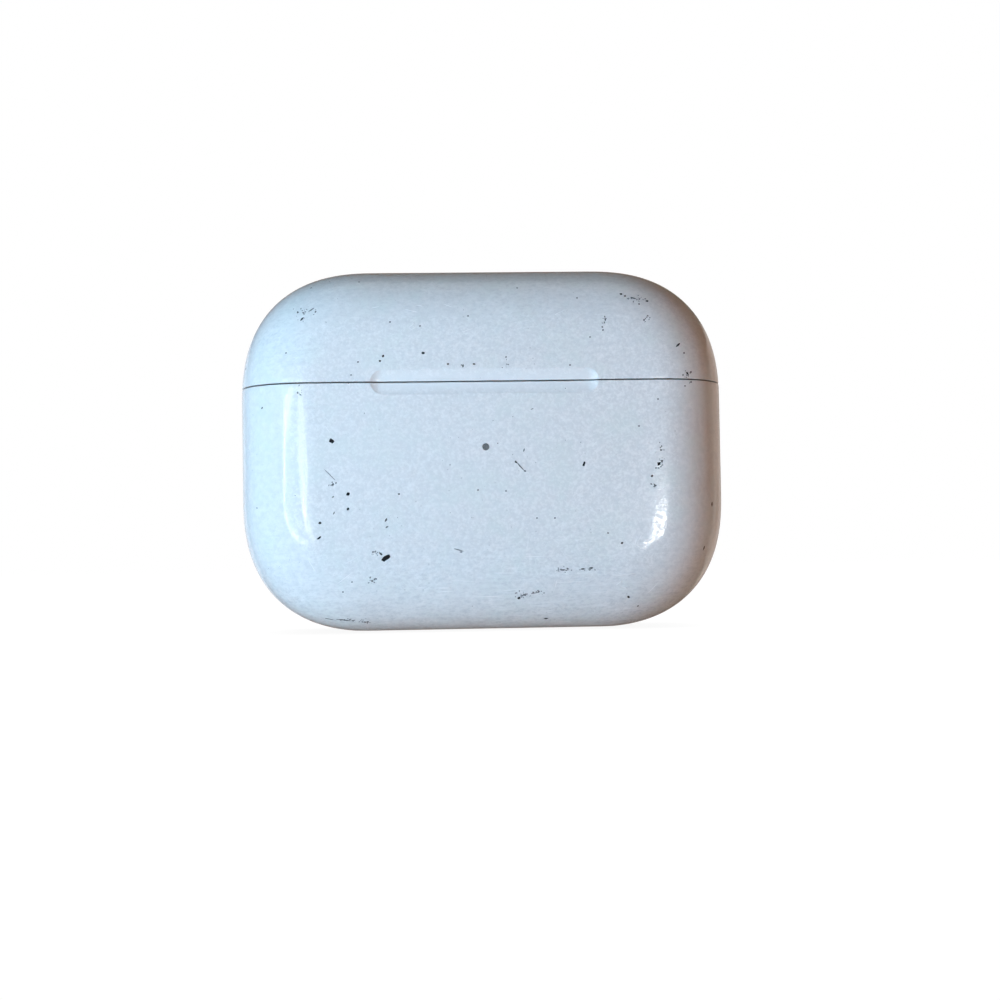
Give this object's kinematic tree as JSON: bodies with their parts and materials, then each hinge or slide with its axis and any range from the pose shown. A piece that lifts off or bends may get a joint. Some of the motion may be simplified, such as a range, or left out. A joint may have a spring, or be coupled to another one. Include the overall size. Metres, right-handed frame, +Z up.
{
  "type": "wireless earbuds case",
  "caption": "Pocket charging case for wireless earbuds: soft-cornered white shells, a hinged lid, fitted wells, a pairing button and a charging socket.",
  "frame": {"origin": "on the surface that the closed case stands on, under the middle of the case", "axes": "+Z up through the lid, +X along the width, -Y out of the front face with the finger scoop and the light"},
  "size_m": [0.0606, 0.0218, 0.0452],
  "materials": {
    "shell_white": "glossy moulded plastic, worn, with specks of dirt and fine scuffs",
    "liner_white": "satin moulded plastic",
    "lens_grey": "smoked light guide, unlit",
    "hinge_steel": "polished stainless steel",
    "socket_steel": "bright drawn steel",
    "black_plastic": "moulded black plastic",
    "contact_gold": "gold plated",
    "board_green": "solder mask",
    "flex_amber": "polyimide film",
    "cell_silver": "foil pouch",
    "coil_copper": "enamelled copper winding",
    "ferrite": "sintered ferrite sheet",
    "magnet_nickel": "nickel plated"
  },
  "bodies": {
    "base": {"base_shell": "shell_white", "inner_tray": "liner_white", "light_lens": "lens_grey", "status_led": "liner_white", "status_flex": "flex_amber", "lid_sensor": "black_plastic", "main_board": "board_green", "controller_chip": "black_plastic", "power_chip": "black_plastic", "button_switch": "black_plastic", "battery_left": "cell_silver", "battery_right": "cell_silver", "charging_coil": "coil_copper", "coil_shield": "ferrite", "closure_magnet_left": "magnet_nickel", "closure_magnet_right": "magnet_nickel", "bud_magnet_left": "magnet_nickel", "bud_magnet_right": "magnet_nickel", "contact_carrier_left": "black_plastic", "contact_carrier_right": "black_plastic", "contact_left_front": "contact_gold", "contact_left_rear": "contact_gold", "contact_right_front": "contact_gold", "contact_right_rear": "contact_gold", "socket_shell": "socket_steel", "socket_trim": "socket_steel", "socket_tongue": "black_plastic", "hinge_block": "hinge_steel", "hinge_pin": "hinge_steel"},
    "lid": {"lid_shell": "shell_white", "lid_liner": "liner_white", "lid_hinge_bracket": "hinge_steel", "lid_magnet_left": "magnet_nickel", "lid_magnet_right": "magnet_nickel", "sensor_magnet": "magnet_nickel"},
    "button": {"pairing_button": "shell_white"}
  },
  "joints": [
    {"name": "lid_hinge", "type": "hinge", "parent": "base", "child": "lid", "pos_m": [0, 0.00965, 0.0327], "axis": [-1, 0, 0], "range_deg": [0, 100]},
    {"name": "button_press", "type": "slide", "parent": "base", "child": "button", "axis": [0, -1, 0], "range_m": [0, 0.0004], "stiffness_N_per_m": 500}
  ]
}
